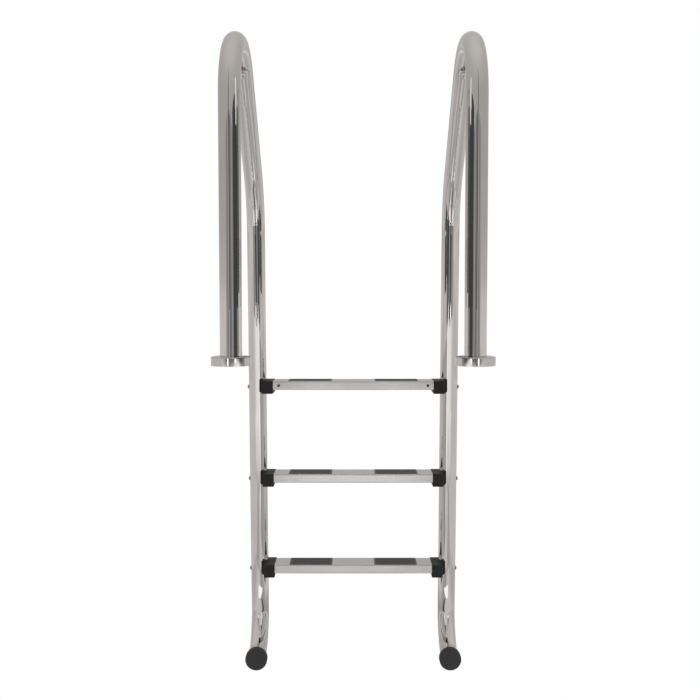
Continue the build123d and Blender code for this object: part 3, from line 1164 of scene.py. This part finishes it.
# A louvre between post and leg: face-on to the opposite leg, edge-on to posts and slopes.
slat_count, slat_start, slat_pitch = 14, 0.135, 15 * MM
slat_low, slat_high = 0.105, 0.27
slat_run = (12 * MM, 4.5 * MM)
slat_slope = 0.176
lean = slat_slope * (slat_high - slat_low)
for side, sign in sides.items():
    corners, faces = [], []
    for i in range(slat_count):
        x, y = sign * rail_x, slat_start + slat_pitch * i
        dx, dy = sign * slat_run[0], slat_run[1]
        corners += [(x - dx, y - dy, slat_low), (x + dx, y + dy, slat_low)]
        corners += [(x + dx, y + dy + lean, slat_high), (x - dx, y - dy + lean, slat_high)]
        faces.append(tuple(range(4 * i, 4 * i + 4)))
    card(f"louvre_{side}", corners, black, faces)

# A front flag stands behind the camera, with a white sweep below it that runs out over the
# floor. A low card with two bright spots shows in the escutcheons' rims.
flag_reach, sweep_reach, spots_reach = 1.9, 2.2, 0.68
flag_foot, sweep_y = -0.25, -1.96
flag_stops = (
    (0.0, 0.24), (0.4, 0.24), (0.48, 0.54), (0.66, 0.5), (0.76, 0.28),
    (1.05, 0.32), (1.25, 0.42), (1.6, 0.4), (flag_reach, 0.6),
)
sweep_stops = (0.0, 1.2), (0.8, 1.15), (1.25, 0.92), (1.6, 0.9), (sweep_reach, 0.8)
sweep_floor_stops = (0.8, 0.58), (1.1, 0.95), (1.9, 1.15)
spot_stops = (
    (0.0, 0.08), (0.26, 0.08), (0.28, 2.4),
    (0.48, 2.4), (0.5, 0.08), (spots_reach, 0.08),
)
flag_light = glow("front_flag", "X", flag_stops)
facing("front_flag", flag_reach, sweep_y + 10 * MM, flag_foot, 0.86, flag_light)
sweep_light = glow("front_sweep", "X", sweep_stops)
facing("front_sweep", sweep_reach, sweep_y, floor_z + MM, flag_foot, sweep_light)
sweep_floor_light = glow("sweep_floor", "Y", sweep_floor_stops)
level_card("sweep_floor", 1.5, sweep_y, near_end, floor_z + MM, sweep_floor_light)
facing("cover_spots", spots_reach, -1.0, -0.12, -0.065, glow("cover_spots", "X", spot_stops))

# The world is plain white to the camera. To everything else its strength goes by height.
world = bpy.data.worlds.new("studio")
bpy.context.scene.world = world
world.use_nodes = True
tree = world.node_tree
tree.nodes.clear()
path = tree.nodes.new("ShaderNodeLightPath")
seen = tree.nodes.new("ShaderNodeBackground")
seen.inputs["Color"].default_value = (1, 1, 1, 1)
seen.inputs["Strength"].default_value = 1.0
felt = tree.nodes.new("ShaderNodeBackground")
felt.inputs["Color"].default_value = (1.0, 0.985, 0.97, 1)
sky_stops = (
    (-1.0, 0.72), (-0.15, 0.74), (-0.06, 0.82), (0.0, 0.78), (0.035, 0.64),
    (0.08, 0.55), (0.3, 0.54), (0.7, 0.62), (1.0, 0.75),
)
source = tree.nodes.new("ShaderNodeTexCoord")
sky = follow(tree, source.outputs["Generated"], "Z", sky_stops, mirrored=False)
tree.links.new(sky, felt.inputs["Strength"])
pick = tree.nodes.new("ShaderNodeMixShader")
out = tree.nodes.new("ShaderNodeOutputWorld")
tree.links.new(path.outputs["Is Camera Ray"], pick.inputs[0])
tree.links.new(felt.outputs[0], pick.inputs[1])
tree.links.new(seen.outputs[0], pick.inputs[2])
tree.links.new(pick.outputs[0], out.inputs["Surface"])


def softbox(name, location, target, size, power):
    """A rectangular soft light aimed at a point."""
    data = bpy.data.lights.new(name, "AREA")
    data.shape = "RECTANGLE"
    data.size, data.size_y = size
    data.energy = power
    lamp = bpy.data.objects.new(name, data)
    lamp.location = location
    lamp.rotation_mode = "QUATERNION"
    lamp.rotation_quaternion = (Vector(target) - Vector(location)).to_track_quat("-Z", "Y")
    bpy.context.scene.collection.objects.link(lamp)
    lamp.visible_camera = False
    lamp.visible_glossy = False


softbox("overhead", (0, -0.4, 2.6), target=(0, 0.2, 0), size=(2.4, 2.4), power=20)

# ---------------------------------------------------------------- camera
camera_pitch = -3.06
camera_data = bpy.data.cameras.new("camera")
camera_data.sensor_width = 36
camera_data.lens = 47.1
camera_data.shift_x = -0.00467
camera_data.shift_y = 0.00071
camera = bpy.data.objects.new("camera", camera_data)
camera.location = (0, -1.714, 0.1198)
camera.rotation_euler = (math.radians(90 + camera_pitch), 0, 0)
bpy.context.scene.collection.objects.link(camera)
bpy.context.scene.camera = camera
bpy.context.scene.view_settings.view_transform = "Standard"
